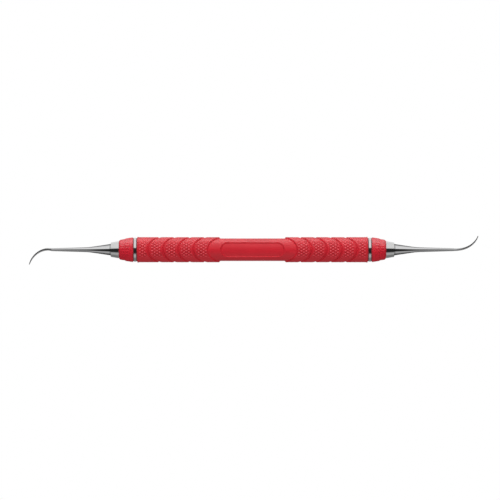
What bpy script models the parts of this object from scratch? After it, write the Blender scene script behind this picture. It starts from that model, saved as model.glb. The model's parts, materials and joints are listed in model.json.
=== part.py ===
"""Double-ended dental explorer, as ten separate pieces.

Two hooked steel working ends are pressed into turned steel ferrules. Each ferrule carries a ribbed resin nose
and a steel band, and its spigot goes into a thin steel core tube that runs through the resin grip.

Metres. X runs along the handle, +Z is up off the bench that the explorer lies on, and the hooks lie nearly in
the XY plane. The origin is on the handle's axis at mid-length. Distances called "from centre" run outwards
along X from there, towards either end.
"""

import math

import bpy
from mathutils import Vector

# Fits between the pieces.
GLUE_LINE = 0.0001  # radial room for the bond between a shaft and its bore
FACE_GAP = 0.0003  # open joint either side of a band

# Grip: a resin barrel, 9.5 mm over the pads.
GRIP_HALF_LENGTH = 0.0434
PAD_RADIUS = 0.00475
RIM_RADIUS = 0.00483
RIM_WIDTH = 0.0006
RIM_CHAMFER = 0.00015
WAIST_RADIUS = 0.00425
GRIP_SIDES = 48

# Scalloped grooves: rings that bulge towards the nearer end of the handle on the top and on the underside.
GROOVE_COUNT = 4
GROOVE_PITCH = 0.0057
FIRST_GROOVE = 0.0348  # from centre, at the side of the handle
GROOVE_WIDTH = 0.0016
GROOVE_FLOOR_WIDTH = 0.0003
SCALLOP = 0.0047
SCALLOP_POWER = 1.2
SHOULDER_TOP = 0.01262  # from centre: where the last pads drop to the waist
SHOULDER_FOOT = 0.01210
SCALLOPED = (0.0120, 0.0360)  # from centre: what the scallops carry with them

# Label recess: a blank panel with round ends, sunk into the top of the waist.
LABEL_LENGTH = 0.0241
LABEL_WIDTH = 0.0054
LABEL_DEPTH = 0.00045
LABEL_END_STEPS = 12

# Core tube: 6 mm outside, 0.5 mm wall.
TUBE_RADIUS = 0.0030
TUBE_WALL = 0.0005
TURNED_SIDES = 32

# Band: a steel ring that stands just below the rims on either side of it.
BAND_RADIUS = 0.00452
BAND_WIDTH = 0.0010
BAND_CHAMFER = 0.00008

# Ferrule: cone collar, body under the nose and band, spigot in the core tube.
COLLAR_FRONT = 0.0534  # from centre
COLLAR_REAR = 0.0504
COLLAR_FRONT_RADIUS = 0.00273
COLLAR_REAR_RADIUS = 0.00326
FERRULE_BODY_RADIUS = 0.0027
SPIGOT_LENGTH = 0.0100
SPIGOT_CHAMFER = 0.0003
SEAT_DEPTH = 0.0005  # counterbore that the foot of the shank sits in

# Nose: outer radii where its rows of ribs begin and end.
NOSE_FRONT_RADIUS = 0.00328
NOSE_FRONT_SHOULDER = 0.00372
FRONT_ROW_RADII = (0.00386, 0.00402)
REAR_ROW_RADII = (0.00426, 0.00450)
NOSE_REAR_RADIUS = 0.00466
FRONT_ROW = (0.0006, 0.0021)  # distances behind the nose's front face
REAR_ROW = (0.0024, 0.0041)
ROW_RUNOUT = 0.00015
RIB_COUNT = 24
RIB_DEPTH = 0.00012

# Working end: tang, foot, tapered shank.
TANG_RADIUS = 0.00115
TANG_LENGTH = 0.0110
TANG_CHAMFER = 0.0003
FOOT_RADIUS = 0.00222
FOOT_HEIGHT = 0.00055
ELBOW_RADIUS = 0.00053
SHANK_SLENDER_TAPER = 0.029  # radius gained per length, going back from the elbow
SHANK_CONE_TAPER = 0.120  # more of it, over the cone at the foot
SHANK_CONE_LENGTH = 0.0083
SHANK_CONE_BLEND = 0.0006
SHANK_STEPS = 14
SHANK_SIDES = 16

# Hook: a needle that leaves the shank with a slight back-bend and then sweeps round to the side.
NEEDLE_RADIUS = 0.00048
TIP_RADIUS = 0.00010
NEEDLE_STEP = 0.0011  # length over which the shank is ground down to the needle
NEEDLE_TAPER_POWER = 0.62
BACK_BEND_LENGTH = 0.0007
LEAN = math.radians(20)  # how far the hook stands out of the flat it would otherwise lie in
LEAN_BLEND = 0.0008  # distance over which it comes in
HOOK_STEPS = 24
CENTRELINE_STEPS = 10 * HOOK_STEPS
ELBOW = 0.0752  # from centre
NEEDLE_LENGTH = 0.0118
HOOKS = {
    # side: back-bend, sweep, and how late along the needle it curls (1 is an even curl)
    "left": (math.radians(10.5), math.radians(83), 0.87),
    "right": (math.radians(0.5), math.radians(72), 1.35),
}

# What follows from these.
BAND_REAR = GRIP_HALF_LENGTH + FACE_GAP
BAND_FRONT = BAND_REAR + BAND_WIDTH
NOSE_REAR = BAND_FRONT + FACE_GAP
NOSE_FRONT = COLLAR_REAR - GLUE_LINE
TUBE_BORE = TUBE_RADIUS - TUBE_WALL
TUBE_HALF_LENGTH = GRIP_HALF_LENGTH - GLUE_LINE
SPIGOT_RADIUS = TUBE_BORE - GLUE_LINE
SPIGOT_FRONT = GRIP_HALF_LENGTH
SPIGOT_REAR = SPIGOT_FRONT - SPIGOT_LENGTH
SEAT_FLOOR = COLLAR_FRONT - SEAT_DEPTH
SEAT_RADIUS = FOOT_RADIUS + GLUE_LINE
FOOT_REAR = SEAT_FLOOR + GLUE_LINE
TANG_REAR = FOOT_REAR - TANG_LENGTH
TANG_BORE = TANG_RADIUS + GLUE_LINE
TANG_BORE_END = TANG_REAR - FACE_GAP
FERRULE_BORE = FERRULE_BODY_RADIUS + GLUE_LINE

# Each piece is turned about its local Z, which these turns lay along the handle, outwards on its side.
ALONG_HANDLE = {"left": (0.0, -math.pi / 2, 0.0), "right": (0.0, math.pi / 2, 0.0)}

RED_RESIN = ((0.56, 0.025, 0.045), 0.42, 0.0)
POLISHED_STEEL = ((0.78, 0.78, 0.77), 0.14, 1.0)
SATIN_STEEL = ((0.70, 0.70, 0.69), 0.28, 1.0)
DRAWN_STEEL = ((0.55, 0.55, 0.55), 0.38, 1.0)


def clear_scene():
    for obj in list(bpy.data.objects):
        bpy.data.objects.remove(obj, do_unlink=True)


def new_collection(name):
    collection = bpy.data.collections.new(name)
    bpy.context.scene.collection.children.link(collection)
    return collection


def finish(name, look):
    """A Principled material from (colour, roughness, metallic)."""
    colour, roughness, metallic = look
    material = bpy.data.materials.new(name)
    material.use_nodes = True
    shader = material.node_tree.nodes["Principled BSDF"]
    shader.inputs["Base Color"].default_value = (*colour, 1.0)
    shader.inputs["Roughness"].default_value = roughness
    shader.inputs["Metallic"].default_value = metallic
    material.diffuse_color = (*colour, 1.0)
    return material


def baked(obj):
    """The mesh that an object's modifiers give it."""
    bpy.context.view_layer.update()
    graph = bpy.context.evaluated_depsgraph_get()
    return bpy.data.meshes.new_from_object(obj.evaluated_get(graph))


def turned(name, profile, sides, closed, reshape=None):
    """A mesh turned about local Z from (radius, height) points that run down its outer side.

    A closed profile makes a ring. An open one starts and ends on the axis. The profile stands half a side
    round from local X, so that the piece has a flat and not an edge underneath. reshape, if given, takes each
    vertex of the turned mesh to its new place.
    """
    blank = bpy.data.meshes.new(name + "_profile")
    half_side = math.pi / sides
    across = (math.cos(half_side), math.sin(half_side))
    points = [(radius * across[0], radius * across[1], height) for radius, height in profile]
    edges = [(i, i + 1) for i in range(len(points) - 1)]
    if closed:
        edges.append((len(points) - 1, 0))
    blank.from_pydata(points, edges, [])
    lathe = bpy.data.objects.new(name + "_lathe", blank)
    bpy.context.scene.collection.objects.link(lathe)
    screw = lathe.modifiers.new("Turn", "SCREW")
    screw.axis = "Z"
    screw.angle = math.tau
    screw.steps = sides
    screw.render_steps = sides
    screw.use_merge_vertices = True
    screw.merge_threshold = 1e-6
    mesh = baked(lathe)
    mesh.name = name
    bpy.data.objects.remove(lathe)
    bpy.data.meshes.remove(blank)
    if reshape:
        for vertex in mesh.vertices:
            vertex.co = reshape(vertex.co.copy())
    mesh.shade_smooth()
    mesh.set_sharp_from_angle(angle=math.radians(25))
    return mesh


def place(name, mesh, side, material, collection):
    obj = bpy.data.objects.new(name, mesh)
    obj.rotation_euler = ALONG_HANDLE[side]
    collection.objects.link(obj)
    if not mesh.materials:
        mesh.materials.append(material)
    return obj


# Grip


def scallop(spot):
    """Pushes the grooves outwards over the handle's top and underside, and leaves its ends alone."""
    if SCALLOPED[0] < abs(spot.z) < SCALLOPED[1]:
        facing = abs(spot.x) / math.hypot(spot.x, spot.y)
        spot.z += math.copysign(SCALLOP * facing**SCALLOP_POWER, spot.z)
    return spot


def half_grip_outline():
    """(radius, distance from centre) from the grip's end in to its waist."""
    outline = [
        (RIM_RADIUS - RIM_CHAMFER, GRIP_HALF_LENGTH),
        (RIM_RADIUS, GRIP_HALF_LENGTH - RIM_CHAMFER),
        (RIM_RADIUS, GRIP_HALF_LENGTH - RIM_WIDTH),
        (PAD_RADIUS, GRIP_HALF_LENGTH - RIM_WIDTH - RIM_CHAMFER),
    ]
    for i in range(GROOVE_COUNT):
        centre = FIRST_GROOVE - i * GROOVE_PITCH
        outline += [
            (PAD_RADIUS, centre + GROOVE_WIDTH / 2),
            (WAIST_RADIUS, centre + GROOVE_FLOOR_WIDTH / 2),
            (WAIST_RADIUS, centre - GROOVE_FLOOR_WIDTH / 2),
            (PAD_RADIUS, centre - GROOVE_WIDTH / 2),
        ]
    outline += [(PAD_RADIUS, SHOULDER_TOP), (WAIST_RADIUS, SHOULDER_FOOT)]
    return outline


def label_cutter(collection):
    """The space of the label recess: a prism with round ends whose underside follows the handle's curve."""
    end_radius = LABEL_WIDTH / 2
    end_centre = LABEL_LENGTH / 2 - end_radius
    outline = bpy.data.curves.new("label_outline", "CURVE")
    outline.dimensions = "2D"
    outline.fill_mode = "BOTH"
    outline.extrude = PAD_RADIUS / 2
    spline = outline.splines.new("POLY")
    spline.points.add(2 * LABEL_END_STEPS + 1)
    spline.use_cyclic_u = True
    for i in range(LABEL_END_STEPS + 1):
        angle = math.pi * (i / LABEL_END_STEPS - 0.5)
        across = end_radius * math.sin(angle)
        along = end_centre + end_radius * math.cos(angle)
        spline.points[i].co = (along, across, 0.0, 1.0)
        spline.points[LABEL_END_STEPS + 1 + i].co = (-along, -across, 0.0, 1.0)
    guide = bpy.data.objects.new("label_guide", outline)
    collection.objects.link(guide)
    mesh = baked(guide)
    bpy.data.objects.remove(guide)
    bpy.data.curves.remove(outline)

    cutter = bpy.data.objects.new("label_cutter", mesh)
    cutter.location.z = PAD_RADIUS
    collection.objects.link(cutter)
    weld = cutter.modifiers.new("Close caps", "WELD")
    weld.merge_threshold = 1e-6

    floor_radius = WAIST_RADIUS - LABEL_DEPTH
    end = LABEL_LENGTH
    floor_profile = [(0.0, end), (floor_radius, end), (floor_radius, -end), (0.0, -end)]
    core = bpy.data.objects.new("label_floor", turned("label_floor", floor_profile, GRIP_SIDES, closed=False))
    core.rotation_euler = ALONG_HANDLE["right"]
    collection.objects.link(core)
    keep_above = cutter.modifiers.new("Keep above the floor", "BOOLEAN")
    keep_above.operation = "DIFFERENCE"
    keep_above.solver = "EXACT"
    keep_above.object = core
    for helper in (cutter, core):
        helper.hide_render = True
        helper.display_type = "WIRE"
    return cutter


def make_grip(parts, cutters):
    upper = half_grip_outline()
    lower = [(radius, -distance) for radius, distance in reversed(upper)]
    bore = TUBE_RADIUS + GLUE_LINE
    profile = upper + lower + [(bore, -GRIP_HALF_LENGTH), (bore, GRIP_HALF_LENGTH)]
    mesh = turned("grip", profile, GRIP_SIDES, closed=True, reshape=scallop)
    grip = place("grip", mesh, "right", finish("grip", RED_RESIN), parts)
    recess = grip.modifiers.new("Label recess", "BOOLEAN")
    recess.operation = "DIFFERENCE"
    recess.solver = "EXACT"
    recess.object = label_cutter(cutters)


# Core tube


def make_core_tube(parts):
    profile = [
        (TUBE_RADIUS, TUBE_HALF_LENGTH),
        (TUBE_RADIUS, -TUBE_HALF_LENGTH),
        (TUBE_BORE, -TUBE_HALF_LENGTH),
        (TUBE_BORE, TUBE_HALF_LENGTH),
    ]
    mesh = turned("core_tube", profile, TURNED_SIDES, closed=True)
    place("core_tube", mesh, "right", finish("core_tube", DRAWN_STEEL), parts)


# Ferrules, bands and noses


def make_ferrules(parts):
    profile = [
        (0.0, TANG_BORE_END),
        (TANG_BORE, TANG_BORE_END),
        (TANG_BORE, SEAT_FLOOR),
        (SEAT_RADIUS, SEAT_FLOOR),
        (SEAT_RADIUS, COLLAR_FRONT),
        (COLLAR_FRONT_RADIUS, COLLAR_FRONT),
        (COLLAR_REAR_RADIUS, COLLAR_REAR),
        (FERRULE_BODY_RADIUS, COLLAR_REAR),
        (FERRULE_BODY_RADIUS, SPIGOT_FRONT),
        (SPIGOT_RADIUS, SPIGOT_FRONT),
        (SPIGOT_RADIUS, SPIGOT_REAR + SPIGOT_CHAMFER),
        (SPIGOT_RADIUS - SPIGOT_CHAMFER, SPIGOT_REAR),
        (0.0, SPIGOT_REAR),
    ]
    mesh = turned("ferrule", profile, TURNED_SIDES, closed=False)
    steel = finish("ferrule", POLISHED_STEEL)
    for side in ALONG_HANDLE:
        place("ferrule_" + side, mesh, side, steel, parts)


def make_bands(parts):
    profile = [
        (BAND_RADIUS - BAND_CHAMFER, BAND_FRONT),
        (BAND_RADIUS, BAND_FRONT - BAND_CHAMFER),
        (BAND_RADIUS, BAND_REAR + BAND_CHAMFER),
        (BAND_RADIUS - BAND_CHAMFER, BAND_REAR),
        (FERRULE_BORE, BAND_REAR),
        (FERRULE_BORE, BAND_FRONT),
    ]
    mesh = turned("band", profile, GRIP_SIDES, closed=True)
    steel = finish("band", POLISHED_STEEL)
    for side in ALONG_HANDLE:
        place("band_" + side, mesh, side, steel, parts)


def nose_outline():
    """(radius, distance from centre) down the nose's outer side, front to rear."""
    outline = [(NOSE_FRONT_RADIUS, NOSE_FRONT), (NOSE_FRONT_SHOULDER, NOSE_FRONT - FRONT_ROW[0])]
    rows = ((FRONT_ROW, FRONT_ROW_RADII), (REAR_ROW, REAR_ROW_RADII))
    for (start, end), (start_radius, end_radius) in rows:
        outline += [
            (start_radius, NOSE_FRONT - start - ROW_RUNOUT),
            (end_radius, NOSE_FRONT - end + ROW_RUNOUT),
            (end_radius, NOSE_FRONT - end),
        ]
    outline.append((NOSE_REAR_RADIUS, NOSE_REAR))
    return outline


def flute(spot):
    """Sinks every second line down the nose, along its two rows, to leave the ribs standing."""
    behind_front = NOSE_FRONT - spot.z - ROW_RUNOUT / 2
    in_a_row = any(start < behind_front < end - ROW_RUNOUT for start, end in (FRONT_ROW, REAR_ROW))
    line = math.floor(math.atan2(spot.y, spot.x) / math.tau * 2 * RIB_COUNT)
    if in_a_row and line % 2:
        radius = math.hypot(spot.x, spot.y)
        spot.xy *= (radius - RIB_DEPTH) / radius
    return spot


def make_noses(parts):
    profile = nose_outline() + [(FERRULE_BORE, NOSE_REAR), (FERRULE_BORE, NOSE_FRONT)]
    mesh = turned("nose", profile, 2 * RIB_COUNT, closed=True, reshape=flute)
    resin = finish("nose", RED_RESIN)
    for side in ALONG_HANDLE:
        place("nose_" + side, mesh, side, resin, parts)


# Working ends


def shank_radius(before_elbow):
    """A slender taper back from the elbow, with a steeper cone blended in towards the foot."""
    from_collar = ELBOW - COLLAR_FRONT - before_elbow
    into_cone = (SHANK_CONE_LENGTH - from_collar) / SHANK_CONE_BLEND
    cone = SHANK_CONE_BLEND * math.log1p(math.exp(into_cone))
    return ELBOW_RADIUS + SHANK_SLENDER_TAPER * before_elbow + SHANK_CONE_TAPER * cone


def eased(share):
    """0 to 1 with level ends, as share goes from 0 to 1 and beyond."""
    share = min(share, 1.0)
    return share * share * (3 - 2 * share)


def needle_radius(along):
    ground = eased(along / NEEDLE_STEP)
    left_over = max(1 - along / NEEDLE_LENGTH, 0.0)
    needle = TIP_RADIUS + (NEEDLE_RADIUS - TIP_RADIUS) * left_over**NEEDLE_TAPER_POWER
    return ELBOW_RADIUS + (needle - ELBOW_RADIUS) * ground


def working_end_profile():
    """The blank before it is bent, tip first: (radius, distance from centre along the straight blank)."""
    profile = [(0.0, ELBOW + NEEDLE_LENGTH)]
    for i in range(HOOK_STEPS, 0, -1):
        along = NEEDLE_LENGTH * i / HOOK_STEPS
        profile.append((needle_radius(along), ELBOW + along))
    shank_length = ELBOW - FOOT_REAR - FOOT_HEIGHT
    for i in range(SHANK_STEPS + 1):
        before_elbow = shank_length * i / SHANK_STEPS
        profile.append((min(shank_radius(before_elbow), FOOT_RADIUS), ELBOW - before_elbow))
    profile += [
        (FOOT_RADIUS, FOOT_REAR),
        (TANG_RADIUS, FOOT_REAR),
        (TANG_RADIUS, TANG_REAR + TANG_CHAMFER),
        (TANG_RADIUS - TANG_CHAMFER, TANG_REAR),
        (0.0, TANG_REAR),
    ]
    return profile


def hook_centreline(back_bend, sweep, curl):
    """(place, direction) at even steps along the needle, each as (outwards from the elbow, to the side)."""
    stride = NEEDLE_LENGTH / CENTRELINE_STEPS
    place = Vector((0.0, 0.0))
    line = []
    for i in range(CENTRELINE_STEPS + 1):
        along = i * stride
        swept = max(along - BACK_BEND_LENGTH, 0.0) / (NEEDLE_LENGTH - BACK_BEND_LENGTH)
        heading = sweep * swept**curl - back_bend * eased(along / BACK_BEND_LENGTH)
        direction = Vector((math.cos(heading), math.sin(heading)))
        line.append((place.copy(), direction))
        place += direction * stride
    return line


def lean_rise(distance):
    """How far out of the flat the hook is, this far from the elbow."""
    return math.sin(LEAN) * distance**2 / (distance + LEAN_BLEND)


def bend_hook(side):
    """Carries the straight blank beyond the elbow on to the hook: to -Y on the left, +Y on the right."""
    line = hook_centreline(*HOOKS[side])
    side_sign = {"left": -1, "right": 1}[side]

    def reshape(spot):
        along = spot.z - ELBOW
        if along <= 0:
            return spot
        centre, direction = line[min(round(along / NEEDLE_LENGTH * CENTRELINE_STEPS), CENTRELINE_STEPS)]
        sideways = side_sign * spot.y
        return Vector((
            spot.x - lean_rise(centre.length),
            side_sign * (centre.y + direction.x * sideways),
            ELBOW + centre.x - direction.y * sideways,
        ))

    return reshape


def make_working_ends(parts):
    steel = finish("working_end", SATIN_STEEL)
    for side in HOOKS:
        name = "working_end_" + side
        mesh = turned(name, working_end_profile(), SHANK_SIDES, closed=False, reshape=bend_hook(side))
        place(name, mesh, side, steel, parts)


def main():
    clear_scene()
    parts = new_collection("dental_explorer")
    cutters = new_collection("cutters")
    make_core_tube(parts)
    make_ferrules(parts)
    make_bands(parts)
    make_noses(parts)
    make_working_ends(parts)
    make_grip(parts, cutters)


main()
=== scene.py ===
"""Looks of the double-ended dental explorer: fine meshes, materials, studio and camera.

Metres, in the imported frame's own axes: X along the handle, +Z up off the floor, the hooks towards -Y on the
left and +Y on the right. Distances called "from centre" run outwards along X from the middle of the handle.
An outline is a list of (distance from centre, radius, fillet) corners of a turned shape.
"""

import json
import math

import bmesh
import bpy
import numpy as np
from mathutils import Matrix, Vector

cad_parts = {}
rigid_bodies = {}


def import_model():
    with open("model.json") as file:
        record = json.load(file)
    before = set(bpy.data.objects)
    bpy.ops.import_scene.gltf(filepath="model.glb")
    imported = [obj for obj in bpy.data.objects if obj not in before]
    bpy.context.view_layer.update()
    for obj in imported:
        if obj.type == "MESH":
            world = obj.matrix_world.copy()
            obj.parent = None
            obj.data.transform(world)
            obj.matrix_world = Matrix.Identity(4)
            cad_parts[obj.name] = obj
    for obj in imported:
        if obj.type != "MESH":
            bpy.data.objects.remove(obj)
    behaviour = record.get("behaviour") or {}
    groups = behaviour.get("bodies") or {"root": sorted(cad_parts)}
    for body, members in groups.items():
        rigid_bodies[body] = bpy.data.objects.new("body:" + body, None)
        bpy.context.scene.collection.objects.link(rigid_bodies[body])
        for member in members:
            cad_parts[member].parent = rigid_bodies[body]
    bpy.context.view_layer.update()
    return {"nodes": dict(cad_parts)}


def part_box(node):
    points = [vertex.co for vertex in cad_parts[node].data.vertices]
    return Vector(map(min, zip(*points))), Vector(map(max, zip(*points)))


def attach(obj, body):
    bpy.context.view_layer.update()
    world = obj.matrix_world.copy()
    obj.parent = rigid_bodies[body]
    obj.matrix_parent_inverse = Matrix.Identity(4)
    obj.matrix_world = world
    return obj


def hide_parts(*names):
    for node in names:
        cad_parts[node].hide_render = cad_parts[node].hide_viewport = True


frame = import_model()

MM = 0.001
SIDES = {"left": -1, "right": 1}  # which way each end points along X

# Meshing
FILLET_STEPS = 5
LONGEST_ROW = 0.10 * MM
WELD = 1e-7

# Grip
GRIP_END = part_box("grip")[1].x  # from centre
PAD_RADIUS = 4.75 * MM
WAIST_RADIUS = 4.25 * MM
RIM_RADIUS = 4.83 * MM
RIM_WIDTH = 0.60 * MM
BORE_RADIUS = 3.10 * MM
GROOVE_COUNT = 4
GROOVE_PITCH = 5.70 * MM
FIRST_GROOVE = 34.80 * MM  # from centre, at the side of the handle
GROOVE_WIDTH = 1.60 * MM
GROOVE_FLOOR = 0.10 * MM  # its flat bottom
GROOVE_PAINTED_SHADE = 0.5  # painted shade in the grooves: how deep a cut the material takes a groove for
GROOVE_ON_TOP = 0.60  # share of their full size that the grooves have where the grip faces up or down
SCALLOP = 4.70 * MM  # how far the grooves bulge outwards over the top and the underside
SCALLOP_POWER = 1.2
SCALLOP_EASE = 0.004  # rounds the cusp at the sides
SHOULDER = (12.10 * MM, 12.62 * MM)  # from centre: foot and top of the step up from the waist
WAIST_ROWS = 8

# Chequering: two crossing sets of V cuts that leave rows of small blunt pyramids.
KNURL_PITCH = 1.84 * MM
KNURL_AROUND = 26
KNURL_DEPTH = 0.20 * MM
KNURL_TOP = 0.22  # share of a pyramid's width that is left blunt
KNURL_FINENESS = 9  # mesh steps in one pitch
KNURL_TURN = {"left": -3 / KNURL_FINENESS, "right": 1 / KNURL_FINENESS}  # in pyramids, round the handle
# How squarely the grip faces up or down where the chequering starts to fade, and where it has faded.
KNURL_FADE = (0.94, 0.74)
KNURL_LEFT = 0.20  # share of its depth that is left at the sides, as the draft of the mould asks
KNURL_MARGIN = 0.50 * MM  # plain border beside a groove

# Label recess: a blank panel with round ends.
LABEL_LENGTH = 24.1 * MM
LABEL_WIDTH = 5.4 * MM
LABEL_DEPTH = 0.45 * MM
LABEL_STEPS = 32  # round each end
LABEL_WALL = (
    # how far above the floor, how far outside the panel's edge, and the relief given to the material, whose
    # negative values paint shade in the recess
    (0.00 * MM, -0.42 * MM, -0.2),
    (0.03 * MM, -0.34 * MM, -1.0),
    (0.10 * MM, -0.28 * MM, -1.0),
    (LABEL_DEPTH - 0.07 * MM, -0.03 * MM, -1.0),
    (LABEL_DEPTH, 0.08 * MM, -1.0),
    (LABEL_DEPTH + PAD_RADIUS - WAIST_RADIUS, 0.90 * MM, 0.0),
)

# Nose: lengthwise ribs in two rows, with a small step between the rows
NOSE_BORE = 2.80 * MM
NOSE_RIM = 0.50 * MM  # how far the bore is drawn inwards from each end face
NOSE_REAR_RADIUS = 4.66 * MM
NOSE_FRONT_RADIUS = 3.32 * MM
REAR_ROW = (2.45 * MM, 4.15 * MM)  # distances behind the front face
REAR_ROW_RADII = (4.27 * MM, 4.52 * MM)  # at those distances
FRONT_ROW = (0.55 * MM, 2.15 * MM)
FRONT_ROW_RADII = (3.80 * MM, 4.04 * MM)
STEP_LENGTH = 0.05 * MM
STEP_RADIUS = 4.08 * MM
NOSE_ROW = 0.09 * MM
RIB_COUNT = 24
RIB_FINENESS = 12  # mesh steps in one rib
RIB_DEPTH = 0.08 * MM
RIB_TOP = 0.25  # share of a rib's width that is left blunt
RIB_RUNOUT = 0.20 * MM
RIB_PAINTED_SHADE = 0.35  # painted shade in the valleys: how deep a cut the material takes them for

# Band, and the joint either side of it, floored with a dark fill that paints the shade in the gap
BAND_RADIUS = 4.52 * MM
BAND_COLUMNS = 160
GAP_FLOOR_RADIUS = 4.36 * MM
GAP_FLOOR_CLEARANCE = 0.01 * MM  # to the grip and to the nose

# Ferrule
COLLAR_FRONT_RADIUS = 2.73 * MM
COLLAR_REAR_RADIUS = 3.26 * MM
COLLAR_LENGTH = 3.0 * MM
FERRULE_BODY_RADIUS = 2.70 * MM
SPIGOT_RADIUS = 2.40 * MM
SPIGOT_LENGTH = 10.0 * MM
SEAT_RADIUS = 2.32 * MM
SEAT_DEPTH = 0.50 * MM
TANG_BORE = 1.25 * MM
TANG_BORE_RUN = 11.2 * MM
FERRULE_COLUMNS = 144

# Working end
WORKING_END_COLUMNS = 64
SHANK_ROWS = 110
NEEDLE_ROWS = 160
PATH_STEPS = 2400
TANG_RADIUS = 1.15 * MM
TANG_LENGTH = 11.0 * MM
FOOT_RADIUS = 2.22 * MM
FOOT_HEIGHT = 0.55 * MM
ELBOW = 75.2 * MM  # from centre
ELBOW_RADIUS = 0.53 * MM
SLENDER_TAPER = 0.029
CONE_TAPER = 0.120
CONE_LENGTH = 8.3 * MM
CONE_BLEND = 0.6 * MM
NEEDLE_LENGTH = 11.8 * MM
NEEDLE_RADIUS = 0.48 * MM
TIP_RADIUS = 0.10 * MM
NEEDLE_STEP = 1.1 * MM
NEEDLE_TAPER_POWER = 0.62
BACK_BEND_LENGTH = 0.7 * MM
LEAN = math.radians(20)  # out of the flat
LEAN_BLEND = 0.8 * MM
HOOKS = {
    # side: back-bend, sweep, and how late along the needle it curls
    "left": (math.radians(10.5), math.radians(83), 0.87),
    "right": (math.radians(0.5), math.radians(72), 1.35),
}

# Colours and finish
GRIP_RED = (0.66, 0.020, 0.034)
NOSE_RED = (0.68, 0.014, 0.032)
CREST_HIGHLIGHT_RED = (0.88, 0.120, 0.145)  # painted highlight: the paler red given to the chequering's crests
CUT_PAINTED_SHADE = (0.70, 0.50, 0.54)  # painted shade: multiplies the resin's red in a cut
RESIN_IOR = 1.5
GRIP_ROUGHNESS = 0.42
NOSE_ROUGHNESS = 0.60
GRIP_GRAIN = 0.004 * MM
NOSE_GRAIN = 0.001 * MM
# Painted shade: the ground steel's colour towards a glancing view.
GLANCING_PAINTED_GREY = 0.1

# Studio
LAMPS = {
    # name: tilt from straight up towards +Y, watts
    "soft_key": (math.radians(62), 9.5),
    "soft_fill": (math.radians(-35), 7.8),
}
SHEEN_LAMPS = {
    # name: tilt, watts, and the start of the names of the pieces that mirror it
    "grip_sheen": (math.radians(97), 6.5, "grip"),
    "nose_sheen": (math.radians(86), 32.0, "nose"),
}
LAMP_SIZE = (1.4, 0.35)
LAMP_DISTANCE = 1.2
STUDIO_LEVELS = (
    # degrees from straight up towards +Y, brightness mirrored by the steel
    (-179, 0.90),
    (-165, 0.60),
    (-150, 0.25),
    (-112, 0.20),
    (-95, 0.20),
    (-85, 0.30),
    (-76, 0.38),
    (-68, 0.45),
    (-57, 0.46),
    (-46, 0.36),
    (-40, 0.22),
    (-34, 0.04),
    (-28, 0.02),
    (12, 0.02),
    (16, 0.10),
    (20, 0.72),
    (25, 0.80),
    (60, 0.82),
    (88, 0.82),
    (99, 0.76),
    (112, 0.84),
    (125, 0.90),
    (140, 0.84),
    (179, 0.90),
)
# The squared X part of a direction where the studio starts to darken and where it is dark, and how dark.
STUDIO_ENDS = (0.17, 0.36)
STUDIO_END_LEVEL = 0.12
FLOOR_GAP = 0.03 * MM
FLOOR_HALF_WIDTH = 3.0

# Camera
CAMERA_PLACE = (-0.93 * MM, -0.11 * MM, 1.5)
VIEW_WIDTH = 188.5 * MM
SENSOR_WIDTH = 36.0
CLIP_END = 10.0


# Shape helpers


def smooth(share):
    """0 to 1 with level ends, as share goes from 0 to 1."""
    share = np.clip(share, 0.0, 1.0)
    return share * share * (3 - 2 * share)


def rounded(corners):
    """Rows (distance from centre, radius) along an outline, each fillet drawn as a short arc."""
    spots = np.array([corner[:2] for corner in corners])
    outline = []
    for i, (x, radius, fillet) in enumerate(corners):
        if not fillet:
            outline.append((x, radius))
            continue
        corner = spots[i]
        before = spots[i - 1] - corner
        after = spots[i + 1] - corner
        start = corner + before / np.linalg.norm(before) * fillet
        end = corner + after / np.linalg.norm(after) * fillet
        for u in np.linspace(0, 1, FILLET_STEPS):
            outline.append(tuple((1 - u) ** 2 * start + 2 * u * (1 - u) * corner + u * u * end))
    return np.array(outline)


def divided(outline, longest):
    """The rows with their long stretches cut into even pieces no longer than this."""
    rows = [outline[0]]
    for start, end in zip(outline[:-1], outline[1:], strict=True):
        pieces = max(1, math.ceil(np.linalg.norm(end - start) / longest))
        rows += [start + (end - start) * i / pieces for i in range(1, pieces + 1)]
    return np.array(rows)


def around(columns):
    """Angles round the handle from +Z towards +Y, as one row."""
    return np.arange(columns)[None, :] * (math.tau / columns)


def on_axis(x, radius, angle):
    """Points at these distances along and out from the X axis, as an array (rows, columns, 3)."""
    x, radius, angle = np.broadcast_arrays(x, radius, angle)
    return np.stack([x, radius * np.sin(angle), radius * np.cos(angle)], axis=-1)


def add_relief(mesh, relief):
    """Gives the material a number at each point: 1 on a crest, -1 in a cut, 0 on plain surface. From it the
    material paints highlight on crests and shade in cuts.
    """
    layer = mesh.attributes.new("relief", "FLOAT", "POINT")
    layer.data.foreach_set("value", np.asarray(relief, np.float32).ravel())


def mesh_of_rings(name, points, loop_rows, flip=False, relief=None, sharp_deg=35):
    """A mesh from rings of points. loop_rows joins the last ring to the first, as a turned ring needs."""
    rows, columns = points.shape[:2]
    index = np.arange(rows * columns).reshape(rows, columns)
    here = index if loop_rows else index[:-1]
    ahead = np.roll(index, -1, axis=0) if loop_rows else index[1:]
    quads = [here, ahead, np.roll(ahead, -1, axis=1), np.roll(here, -1, axis=1)]
    faces = np.stack(quads[::-1] if flip else quads, axis=-1).reshape(-1, 4)
    mesh = bpy.data.meshes.new(name)
    mesh.from_pydata(points.reshape(-1, 3), [], faces)
    if relief is not None:
        add_relief(mesh, relief)
    shell = bmesh.new()
    shell.from_mesh(mesh)
    bmesh.ops.remove_doubles(shell, verts=shell.verts, dist=WELD)
    shell.to_mesh(mesh)
    shell.free()
    mesh.shade_smooth()
    mesh.set_sharp_from_angle(angle=math.radians(sharp_deg))
    return mesh


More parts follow.
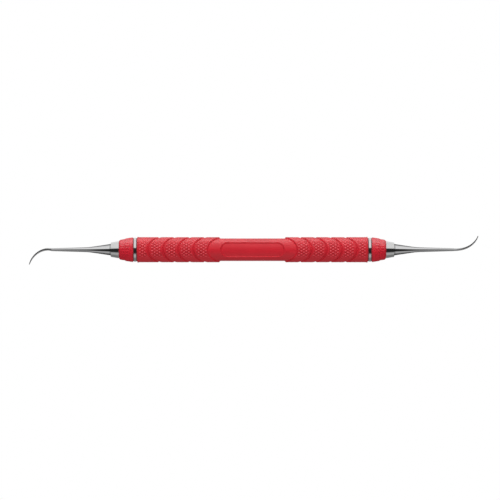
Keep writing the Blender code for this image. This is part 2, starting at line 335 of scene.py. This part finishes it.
def turned(name, outline, columns, loop_rows, sign):
    """A turned piece from (distance from centre, radius) rows, at the end of the handle that sign says."""
    rows = divided(outline, LONGEST_ROW)
    points = on_axis(rows[:, :1] * sign, rows[:, 1:], around(columns))
    return mesh_of_rings(name, points, loop_rows, flip=sign < 0)


def add_piece(mesh, materials, node):
    """Shows a mesh in place of a CAD node."""
    piece = bpy.data.objects.new(mesh.name, mesh)
    bpy.context.scene.collection.objects.link(piece)
    for material in materials:
        mesh.materials.append(material)
    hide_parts(node)
    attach(piece, "root")
    return piece


def reach(node):
    """Nearest and furthest distance from centre of a node at one end of the handle."""
    low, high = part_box(node)
    return sorted((abs(low.x), abs(high.x)))


# Materials


class NodeTree:
    """Short forms for building a node tree."""

    def __init__(self, tree):
        self.tree = tree

    def put(self, socket, value):
        if isinstance(value, bpy.types.NodeSocket):
            self.tree.links.new(value, socket)
        else:
            socket.default_value = value

    def add(self, kind, inputs, **settings):
        node = self.tree.nodes.new(kind)
        for key, value in settings.items():
            setattr(node, key, value)
        for key, value in inputs.items():
            self.put(node.inputs[key], value)
        return node

    def spread(self, value, low, high, to_low, to_high):
        """value from low..high carried over to to_low..to_high, and held at both ends."""
        inputs = {"Value": value, "From Min": low, "From Max": high, "To Min": to_low, "To Max": to_high}
        return self.add("ShaderNodeMapRange", inputs).outputs[0]

    def calc(self, operation, first, second):
        return self.add("ShaderNodeMath", {0: first, 1: second}, operation=operation).outputs[0]

    def mix(self, share, first, second, blend_type="MIX"):
        """A colour that goes from first to second as share goes from 0 to 1."""
        first, second = [(*ink, 1.0) if isinstance(ink, tuple) else ink for ink in (first, second)]
        inputs = {0: share, 6: first, 7: second}
        return self.add("ShaderNodeMix", inputs, data_type="RGBA", blend_type=blend_type).outputs[2]


class Finish(NodeTree):
    """A material, and short forms for its nodes."""

    def __init__(self, name):
        self.material = bpy.data.materials.new(name)
        self.material.use_nodes = True
        super().__init__(self.material.node_tree)
        self.shader = self.tree.nodes["Principled BSDF"]

    def set(self, **values):
        """Sets the shader's own sockets: Base_Color=..., Roughness=..."""
        for key, value in values.items():
            self.put(self.shader.inputs[key.replace("_", " ")], value)

    def noise(self, scale, detail=2.0, roughness=0.5):
        """Noise over the object's own place in metres, its scale set for each axis."""
        place = self.add("ShaderNodeTexCoord", {}).outputs["Object"]
        stretched = self.add("ShaderNodeMapping", {"Vector": place, "Scale": scale}).outputs[0]
        inputs = {"Vector": stretched, "Scale": 1.0, "Detail": detail, "Roughness": roughness}
        return self.add("ShaderNodeTexNoise", inputs).outputs["Fac"]

    def vary(self, noise, low, high):
        """The middle of a noise's range carried over to low..high."""
        return self.spread(noise, 0.3, 0.7, low, high)

    def relief(self):
        """The mesh's relief: 1 on a crest, -1 in a cut, 0 on plain surface. It drives the painted highlight
        and the painted shade.
        """
        return self.add("ShaderNodeAttribute", {}, attribute_name="relief").outputs["Fac"]

    def bump(self, height, distance):
        self.set(Normal=self.add("ShaderNodeBump", {"Height": height, "Distance": distance}).outputs[0])


def make_resin(name, colour, roughness, grain_depth):
    """Moulded red resin with a fine moulded grain. Crests get a painted highlight, a paler red, and cuts get
    painted shade, a deeper red.
    """
    m = Finish(name)
    relief = m.relief()
    grain = m.noise((7000, 7000, 7000), detail=3.0, roughness=0.6)
    cloud = m.noise((170, 420, 420))
    deeper = tuple(0.92 * part for part in colour)
    plain = m.mix(m.vary(cloud, 0.0, 1.0), colour, deeper)
    # Painted shade: a negative relief darkens the red in cuts, grooves and recess walls.
    shade = m.mix(m.spread(relief, -1.0, 0.0, 1.0, 0.0), (1.0, 1.0, 1.0), CUT_PAINTED_SHADE)
    shaded = m.mix(1.0, plain, shade, "MULTIPLY")
    rough = m.calc("ADD", m.vary(grain, roughness - 0.04, roughness + 0.06), m.vary(cloud, -0.02, 0.03))
    m.set(
        # Painted highlight: the crests go over to the paler red.
        Base_Color=m.mix(m.spread(relief, 0.0, 1.0, 0.0, 1.0), shaded, CREST_HIGHLIGHT_RED),
        Roughness=rough,
        IOR=RESIN_IOR,
    )
    m.bump(grain, grain_depth)
    return m.material


def make_turned_steel(name):
    """Satin stainless steel with the fine rings that a lathe leaves."""
    m = Finish(name)
    rings = m.noise((52000, 250, 250))
    smudge = m.noise((500, 500, 500), detail=3.0)
    m.set(
        Base_Color=m.mix(smudge, (0.80, 0.80, 0.79), (0.74, 0.74, 0.74)),
        Metallic=1.0,
        Roughness=m.calc("ADD", m.vary(rings, 0.08, 0.13), m.vary(smudge, 0.0, 0.03)),
    )
    m.bump(rings, 0.0008 * MM)
    return m.material


def make_ground_steel(name):
    """Hardened steel, ground along its length and then polished, with painted shade: its colour goes much
    darker at a glancing view.
    """
    m = Finish(name)
    scratches = m.noise((900, 30000, 30000))
    smudge = m.noise((700, 700, 700), detail=3.0)
    # Painted shade: the colour darkens to a grey as the surface turns away from the view.
    glancing = m.add("ShaderNodeLayerWeight", {"Blend": 0.5}).outputs["Facing"]
    face_on = m.mix(smudge, (0.82, 0.82, 0.82), (0.75, 0.75, 0.76))
    m.set(
        Base_Color=m.mix(m.spread(glancing, 0.22, 0.55, 0.0, 0.75), face_on, (GLANCING_PAINTED_GREY,) * 3),
        Metallic=1.0,
        Roughness=m.calc("ADD", m.vary(scratches, 0.02, 0.05), m.vary(smudge, 0.0, 0.015)),
        Specular_Tint=(0.0, 0.0, 0.0, 1.0),
    )
    m.bump(scratches, 0.0004 * MM)
    return m.material


def make_drawn_steel(name):
    """Dull drawn tube, with faint draw lines along it."""
    m = Finish(name)
    lines = m.noise((300, 14000, 14000))
    m.set(
        Base_Color=m.mix(lines, (0.56, 0.56, 0.56), (0.48, 0.48, 0.49)),
        Metallic=1.0,
        Roughness=m.vary(lines, 0.32, 0.45),
    )
    m.bump(lines, 0.002 * MM)
    return m.material


def make_gap_shade_fill(name):
    """Painted shade for the gaps either side of a band: a dark red-brown fill, slightly uneven."""
    m = Finish(name)
    lumps = m.noise((3000, 900, 900), detail=3.0)
    m.set(
        Base_Color=m.mix(lumps, (0.30, 0.030, 0.035), (0.20, 0.020, 0.025)),
        Roughness=m.vary(lumps, 0.5, 0.7),
    )
    m.bump(lumps, 0.01 * MM)
    return m.material


# Grip


def scallop(angle):
    """How far outwards of its place at the sides a groove is, at this angle round the handle."""
    half = SCALLOP_POWER / 2
    return SCALLOP * ((np.cos(angle) ** 2 + SCALLOP_EASE) ** half - SCALLOP_EASE**half)


def chequer(x, angle, turn):
    """Height of the chequering from 0, along its cuts, to 1, on its blunt tops. x is from centre."""
    along = x / KNURL_PITCH
    across = angle / math.tau * KNURL_AROUND - turn
    to_cut = [1 - 2 * np.abs((along + sign * across) % 1.0 - 0.5) for sign in (-1, 1)]
    return np.clip(np.minimum(*to_cut) / (1 - KNURL_TOP), 0, 1)


def grip_surface(x, angle, turn):
    """Radius and relief of the grip's outer side between its rims. The relief drives painted highlight on the
    chequering's crests and painted shade in its cuts and the grooves. x is from centre.
    """
    at_side = x - scallop(angle)
    to_groove = np.full(at_side.shape, np.inf)
    for i in range(GROOVE_COUNT):
        to_groove = np.minimum(to_groove, np.abs(at_side - (FIRST_GROOVE - i * GROOVE_PITCH)))
    groove_size = 1 - (1 - GROOVE_ON_TOP) * np.cos(angle) ** 2
    wall = (GROOVE_WIDTH - GROOVE_FLOOR) / 2
    down_wall = np.clip(1 - (to_groove / groove_size - GROOVE_FLOOR / 2) / wall, 0, 1)
    in_groove = (smooth(down_wall) + 2 * down_wall) / 3
    below_shoulder = 1 - smooth((at_side - SHOULDER[0]) / (SHOULDER[1] - SHOULDER[0]))
    edge = np.minimum(to_groove - GROOVE_WIDTH / 2, at_side - SHOULDER[1])
    edge = np.minimum(edge, GRIP_END - RIM_WIDTH - x)
    chequered = smooth(edge / KNURL_MARGIN)
    squarely = smooth((np.abs(np.cos(angle)) - KNURL_FADE[1]) / (KNURL_FADE[0] - KNURL_FADE[1]))
    height = chequer(x, angle, turn)
    drop = (PAD_RADIUS - WAIST_RADIUS) * np.maximum(in_groove * groove_size, below_shoulder)
    depth = KNURL_DEPTH * (KNURL_LEFT + (1 - KNURL_LEFT) * squarely) * chequered
    grooved = smooth(2 * down_wall - 1) * (1 - below_shoulder)
    # Painted light: highlight on the chequering's crests, shade in its cuts and in the grooves.
    relief = (2 * height - 1) * chequered * squarely - GROOVE_PAINTED_SHADE * grooved
    return PAD_RADIUS - drop - depth * (1 - height), relief


def half_grip(side):
    """x, radius and relief of the grip's rings, from just off its middle to its end and back to its bore."""
    angle = around(KNURL_AROUND * KNURL_FINENESS)
    step = KNURL_PITCH / KNURL_FINENESS
    first, last = math.floor(SHOULDER[0] / step), math.floor((GRIP_END - RIM_WIDTH) / step)
    textured = np.arange(first, last + 1) * step
    waist = np.linspace(0, textured[0], WAIST_ROWS, endpoint=False)[1:]
    outer = np.concatenate([waist, textured])[:, None]
    radius, relief = grip_surface(outer, angle, KNURL_TURN[side])
    rim = rounded([
        (GRIP_END - RIM_WIDTH, PAD_RADIUS + 0.03 * MM, 0),
        (GRIP_END - RIM_WIDTH + 0.10 * MM, RIM_RADIUS, 0.06 * MM),
        (GRIP_END, RIM_RADIUS, 0.12 * MM),
        (GRIP_END, BORE_RADIUS, 0.10 * MM),
        (GRIP_END - RIM_WIDTH, BORE_RADIUS, 0),
    ])
    plain = np.zeros((len(rim), angle.size))
    x = np.concatenate([outer, rim[:, :1]]) * SIDES[side]
    return x, np.concatenate([radius, rim[:, 1:] + plain]), np.concatenate([relief, plain])


def grip_mesh():
    left, right = half_grip("left"), half_grip("right")
    middle = np.zeros((1, right[1].shape[1]))
    centre = (np.zeros((1, 1)), middle + WAIST_RADIUS, middle)
    x, radius, relief = [
        np.concatenate([to_left[::-1], between, to_right])
        for to_left, between, to_right in zip(left, centre, right, strict=True)
    ]
    points = on_axis(x, radius, around(radius.shape[1]))
    return mesh_of_rings("grip_body", points, True, relief=relief, sharp_deg=50)


def label_cutter():
    """The space over the label panel: a floor curved like the handle, and walls leaning out to the mouth."""
    turn = np.linspace(-math.pi / 2, math.pi / 2, LABEL_STEPS)
    middle = (LABEL_LENGTH - LABEL_WIDTH) / 2
    rings = []
    for above, outside, _ in LABEL_WALL:
        radius = WAIST_RADIUS - LABEL_DEPTH + above
        end = LABEL_WIDTH / 2 + outside
        along = np.concatenate([middle + end * np.cos(turn), -middle - end * np.cos(turn[::-1])])
        across = np.concatenate([end * np.sin(turn), end * np.sin(turn[::-1])])
        rings.append(np.stack([along, across, np.sqrt(radius**2 - across**2)], axis=-1))
    points = np.array(rings)
    levels, columns = points.shape[:2]
    index = np.arange(levels * columns).reshape(levels, columns)
    faces = []
    for low, high in zip(index[:-1], index[1:], strict=True):
        for i in range(columns):
            faces.append((low[i - 1], low[i], high[i], high[i - 1]))
    for ring, upwards in ((index[0], False), (index[-1], True)):
        for i in range(LABEL_STEPS - 1):
            strip = (ring[i], ring[i + 1], ring[columns - 2 - i], ring[columns - 1 - i])
            faces.append(strip if upwards else strip[::-1])
    mesh = bpy.data.meshes.new("label_cutter")
    mesh.from_pydata(points.reshape(-1, 3), [], faces)
    # Painted shade: the walls' relief darkens the recess, and the cut carries it onto the grip.
    add_relief(mesh, np.repeat([relief for _, _, relief in LABEL_WALL], columns))
    mesh.shade_smooth()
    return mesh


def cut(piece, cutter_mesh):
    """Takes the cutter's space out of a piece for good."""
    cutter = bpy.data.objects.new(cutter_mesh.name, cutter_mesh)
    bpy.context.scene.collection.objects.link(cutter)
    modifier = piece.modifiers.new("cut", "BOOLEAN")
    modifier.object = cutter
    result = bpy.data.meshes.new_from_object(piece.evaluated_get(bpy.context.evaluated_depsgraph_get()))
    piece.modifiers.clear()
    whole = piece.data
    name = whole.name
    piece.data = result
    result.set_sharp_from_angle(angle=math.radians(30))
    bpy.data.objects.remove(cutter)
    bpy.data.meshes.remove(cutter_mesh)
    bpy.data.meshes.remove(whole)
    result.name = name


def make_grip(resin):
    grip = add_piece(grip_mesh(), [resin], "grip")
    cut(grip, label_cutter())


# Noses, bands and ferrules


def make_nose(side, resin):
    sign = SIDES[side]
    rear, front = reach("nose_" + side)
    outline = rounded([
        (rear + NOSE_RIM, NOSE_BORE, 0),
        (rear, NOSE_BORE, 0.08 * MM),
        (rear, NOSE_REAR_RADIUS, 0.10 * MM),
        (front - REAR_ROW[1], REAR_ROW_RADII[1], 0),
        (front - REAR_ROW[0], REAR_ROW_RADII[0], 0.06 * MM),
        (front - REAR_ROW[0] + STEP_LENGTH, STEP_RADIUS, 0.05 * MM),
        (front - FRONT_ROW[1], FRONT_ROW_RADII[1], 0),
        (front - FRONT_ROW[0], FRONT_ROW_RADII[0], 0.25 * MM),
        (front, NOSE_FRONT_RADIUS, 0.10 * MM),
        (front, NOSE_BORE, 0.05 * MM),
        (front - NOSE_RIM, NOSE_BORE, 0),
    ])
    rows = divided(outline, NOSE_ROW)
    x, radius = rows[:, :1], rows[:, 1:]
    behind = front - x
    ribbed = np.zeros_like(x)
    for start, end in (FRONT_ROW, REAR_ROW):
        ribbed = np.maximum(ribbed, smooth(np.minimum(behind - start, end - behind) / RIB_RUNOUT))
    ribbed = ribbed * (radius > NOSE_BORE + 0.3 * MM)  # not in the bore
    angle = around(RIB_COUNT * RIB_FINENESS)
    from_crest = np.abs((angle / math.tau * RIB_COUNT) % 1.0 - 0.5) * 2
    valley = ribbed * smooth((from_crest - RIB_TOP) / (1 - RIB_TOP))
    points = on_axis(x * sign, radius - RIB_DEPTH * valley, angle)
    # Painted shade in the rib valleys.
    relief = -RIB_PAINTED_SHADE * valley
    mesh = mesh_of_rings("nose_shell_" + side, points, True, flip=sign < 0, relief=relief, sharp_deg=50)
    add_piece(mesh, [resin], "nose_" + side)


def make_band(side, steel, gap_shade):
    """The bright ring, with a dark fill at the foot of the joint on either side of it that paints the shade
    in the gap.
    """
    sign = SIDES[side]
    rear, front = reach("band_" + side)
    gap_floor_rear = GRIP_END + GAP_FLOOR_CLEARANCE
    gap_floor_front = reach("nose_" + side)[0] - GAP_FLOOR_CLEARANCE
    outline = rounded([
        (rear, NOSE_BORE, 0),
        (gap_floor_rear, NOSE_BORE, 0),
        (gap_floor_rear, GAP_FLOOR_RADIUS, 0.04 * MM),
        (rear, GAP_FLOOR_RADIUS, 0),
        (rear, BAND_RADIUS, 0.09 * MM),
        (front, BAND_RADIUS, 0.09 * MM),
        (front, GAP_FLOOR_RADIUS, 0),
        (gap_floor_front, GAP_FLOOR_RADIUS, 0.04 * MM),
        (gap_floor_front, NOSE_BORE, 0),
        (front, NOSE_BORE, 0),
    ])
    mesh = turned("band_ring_" + side, outline, BAND_COLUMNS, True, sign)
    add_piece(mesh, [steel, gap_shade], "band_" + side)
    # The faces off the ring take the dark fill that paints the gap's shade.
    for face in mesh.polygons:
        away = math.hypot(face.center.y, face.center.z)
        on_ring = rear < abs(face.center.x) < front or away > GAP_FLOOR_RADIUS
        face.material_index = 0 if on_ring else 1


def make_ferrule(side, steel):
    rear, front = reach("ferrule_" + side)
    seat = front - SEAT_DEPTH
    outline = rounded([
        (rear, 0.0, 0),
        (rear, SPIGOT_RADIUS, 0.3 * MM),
        (rear + SPIGOT_LENGTH, SPIGOT_RADIUS, 0),
        (rear + SPIGOT_LENGTH, FERRULE_BODY_RADIUS, 0.05 * MM),
        (front - COLLAR_LENGTH, FERRULE_BODY_RADIUS, 0),
        (front - COLLAR_LENGTH, COLLAR_REAR_RADIUS, 0.06 * MM),
        (front, COLLAR_FRONT_RADIUS, 0.05 * MM),
        (front, SEAT_RADIUS, 0.04 * MM),
        (seat, SEAT_RADIUS, 0),
        (seat, TANG_BORE, 0.05 * MM),
        (seat - TANG_BORE_RUN, TANG_BORE, 0),
        (seat - TANG_BORE_RUN, 0.0, 0),
    ])
    mesh = turned("ferrule_socket_" + side, outline, FERRULE_COLUMNS, False, SIDES[side])
    add_piece(mesh, [steel], "ferrule_" + side)


# Working ends


def shank_radius(before_elbow, from_collar):
    """A slender taper back from the elbow, with a steeper cone blended in towards the foot."""
    cone = CONE_BLEND * np.log1p(np.exp((CONE_LENGTH - from_collar) / CONE_BLEND))
    return ELBOW_RADIUS + SLENDER_TAPER * before_elbow + CONE_TAPER * cone


def needle_radius(along):
    left_over = np.maximum(1 - along / NEEDLE_LENGTH, 0.0)
    needle = TIP_RADIUS + (NEEDLE_RADIUS - TIP_RADIUS) * left_over**NEEDLE_TAPER_POWER
    return ELBOW_RADIUS + (needle - ELBOW_RADIUS) * smooth(along / NEEDLE_STEP)


def hook_path(side, along):
    """Centres of the needle at these distances from the elbow."""
    back_bend, sweep, curl = HOOKS[side]
    sign = SIDES[side]
    fine = np.linspace(0, NEEDLE_LENGTH, PATH_STEPS + 1)
    swept = np.maximum(fine - BACK_BEND_LENGTH, 0) / (NEEDLE_LENGTH - BACK_BEND_LENGTH)
    heading = sweep * swept**curl - back_bend * smooth(fine / BACK_BEND_LENGTH)
    stride = fine[1]
    out = np.concatenate([[0], np.cumsum(np.cos(heading[1:]) * stride)])
    aside = np.concatenate([[0], np.cumsum(np.sin(heading[1:]) * stride)])
    distance = np.hypot(out, aside)
    rise = math.sin(LEAN) * distance**2 / (distance + LEAN_BLEND)
    path = np.stack([sign * (ELBOW + out), sign * aside, sign * rise], axis=-1)
    return np.stack([np.interp(along, fine, path[:, k]) for k in range(3)], axis=-1)


def rings_on(path, radius, columns, sign):
    """Rings of these radii square to a path that starts along X, carried on from each other without twist."""
    ahead = np.gradient(path, axis=0)
    ahead /= np.linalg.norm(ahead, axis=1, keepdims=True)
    up = np.array([0.0, 0.0, 1.0])
    turn = around(columns)[0]
    rings = []
    for spot, direction, size in zip(path, ahead, radius, strict=True):
        up = up - direction * (up @ direction)
        up /= np.linalg.norm(up)
        across = np.cross(up, direction) * sign
        rings.append(spot + size * (np.cos(turn)[:, None] * up + np.sin(turn)[:, None] * across))
    return np.array(rings)


def make_working_end(side, steel):
    sign = SIDES[side]
    collar_front = reach("ferrule_" + side)[1]
    foot_rear = reach("working_end_" + side)[0] + TANG_LENGTH
    root = rounded([
        (foot_rear - TANG_LENGTH, 0.0, 0),
        (foot_rear - TANG_LENGTH, TANG_RADIUS, 0.25 * MM),
        (foot_rear, TANG_RADIUS, 0),
        (foot_rear, FOOT_RADIUS, 0.04 * MM),
        (foot_rear + FOOT_HEIGHT, FOOT_RADIUS - 0.01 * MM, 0),
    ])
    shank_x = np.linspace(foot_rear + FOOT_HEIGHT + 0.08 * MM, ELBOW, SHANK_ROWS)
    shank_r = np.minimum(shank_radius(ELBOW - shank_x, shank_x - collar_front), FOOT_RADIUS - 0.02 * MM)
    along = np.linspace(0, 1, NEEDLE_ROWS)[1:] * NEEDLE_LENGTH
    straight = np.stack([sign * shank_x, 0 * shank_x, 0 * shank_x], axis=-1)
    path = np.concatenate([straight, hook_path(side, along)])
    radius = np.concatenate([shank_r, needle_radius(along)])
    tip = path[-1] + (path[-1] - path[-2])
    points = np.concatenate([
        on_axis(sign * root[:, :1], root[:, 1:], around(WORKING_END_COLUMNS)),
        rings_on(path, radius, WORKING_END_COLUMNS, sign),
        np.broadcast_to(tip, (1, WORKING_END_COLUMNS, 3)),
    ])
    mesh = mesh_of_rings("needle_and_shank_" + side, points, False, flip=sign < 0, sharp_deg=40)
    add_piece(mesh, [steel], "working_end_" + side)


# Studio


def make_world():
    """A studio seen only in reflections and by its light: bright on the +Y side, black overhead, dim beyond
    the ends of the handle. The camera sees white paper instead."""
    world = bpy.data.worlds.new("studio")
    bpy.context.scene.world = world
    world.use_nodes = True
    w = NodeTree(world.node_tree)
    w.tree.nodes.clear()
    direction = w.add("ShaderNodeTexCoord", {}).outputs["Generated"]
    x, y, z = w.add("ShaderNodeSeparateXYZ", {0: direction}).outputs
    turn = w.spread(w.calc("ARCTAN2", y, z), -math.pi, math.pi, 0.0, 1.0)
    ramp = w.add("ShaderNodeValToRGB", {0: turn})
    stops = ramp.color_ramp.elements
    for degrees, level in STUDIO_LEVELS:
        stop = stops.new(0.5 + degrees / 360)
        stop.color = (level, level, level, 1.0)
    stops.remove(stops[0])
    stops.remove(stops[-1])
    fade = w.spread(w.calc("MULTIPLY", x, x), *STUDIO_ENDS, 1.0, STUDIO_END_LEVEL)
    dimmed = w.mix(1.0, ramp.outputs[0], fade, "MULTIPLY")
    studio = w.add("ShaderNodeBackground", {"Color": dimmed}).outputs[0]
    paper = w.add("ShaderNodeBackground", {"Color": (1.0, 1.0, 1.0, 1.0)}).outputs[0]
    to_camera = w.add("ShaderNodeLightPath", {}).outputs["Is Camera Ray"]
    either = w.add("ShaderNodeMixShader", {0: to_camera, 1: studio, 2: paper}).outputs[0]
    w.add("ShaderNodeOutputWorld", {"Surface": either})


def make_floor():
    """White paper, evenly bright, just under the grip. It takes no shadow, and the explorer neither mirrors
    it nor is lit by it."""
    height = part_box("grip")[0].z - FLOOR_GAP
    half = FLOOR_HALF_WIDTH
    corners = [(x, y, height) for x, y in ((-half, -half), (half, -half), (half, half), (-half, half))]
    mesh = bpy.data.meshes.new("floor")
    mesh.from_pydata(corners, [], [(0, 1, 2, 3)])
    floor = bpy.data.objects.new("floor", mesh)
    bpy.context.scene.collection.objects.link(floor)
    m = Finish("white_paper")
    m.set(
        Base_Color=(0.0, 0.0, 0.0, 1.0),
        Specular_IOR_Level=0.0,
        Emission_Color=(1.0, 1.0, 1.0, 1.0),
        Emission_Strength=1.0,
    )
    mesh.materials.append(m.material)
    floor.visible_diffuse = False
    floor.visible_glossy = False
    floor.visible_shadow = False


def add_lamp(name, tilt, watts):
    light = bpy.data.lights.new(name, "AREA")
    light.shape = "RECTANGLE"
    light.size, light.size_y = LAMP_SIZE
    light.energy = watts
    lamp = bpy.data.objects.new(name, light)
    bpy.context.scene.collection.objects.link(lamp)
    lamp.location = (0.0, LAMP_DISTANCE * math.sin(tilt), LAMP_DISTANCE * math.cos(tilt))
    lamp.rotation_euler = (-tilt, 0.0, 0.0)
    lamp.visible_camera = False
    return lamp


def make_lamps():
    """A long soft box on either side lights everything and is mirrored by nothing: the steel mirrors the
    studio. Low ones out on the +Y side are only seen mirrored, as the sheen along one side of the resin."""
    for name, (tilt, watts) in LAMPS.items():
        add_lamp(name, tilt, watts).visible_glossy = False
    for name, (tilt, watts, start) in SHEEN_LAMPS.items():
        lamp = add_lamp(name, tilt, watts)
        lamp.visible_diffuse = False
        mirroring = bpy.data.collections.new(name + "_pieces")
        for piece in bpy.context.scene.objects:
            if piece.type == "MESH" and piece.name.startswith(start):
                mirroring.objects.link(piece)
        lamp.light_linking.receiver_collection = mirroring


def make_camera():
    """Straight overhead with a long lens, the handle a hair above and to the right of the middle."""
    data = bpy.data.cameras.new("overhead")
    camera = bpy.data.objects.new("overhead", data)
    bpy.context.scene.collection.objects.link(camera)
    camera.location = CAMERA_PLACE
    data.sensor_width = SENSOR_WIDTH
    data.lens = SENSOR_WIDTH * CAMERA_PLACE[2] / VIEW_WIDTH
    data.clip_end = CLIP_END
    bpy.context.scene.camera = camera


def main():
    bpy.context.scene.view_settings.view_transform = "Standard"
    grip_resin = make_resin("red_resin_grip", GRIP_RED, GRIP_ROUGHNESS, GRIP_GRAIN)
    nose_resin = make_resin("red_resin_nose", NOSE_RED, NOSE_ROUGHNESS, NOSE_GRAIN)
    ferrule_steel = make_turned_steel("satin_ferrule_steel")
    band_steel = make_turned_steel("satin_band_steel")
    needle_steel = make_ground_steel("ground_steel")
    gap_shade = make_gap_shade_fill("joint_sealant")
    make_grip(grip_resin)
    for side in SIDES:
        make_nose(side, nose_resin)
        make_band(side, band_steel, gap_shade)
        make_ferrule(side, ferrule_steel)
        make_working_end(side, needle_steel)
    tube = frame["nodes"]["core_tube"]
    tube.data.materials.clear()
    tube.data.materials.append(make_drawn_steel("drawn_tube_steel"))
    make_world()
    make_lamps()
    make_floor()
    make_camera()


main()
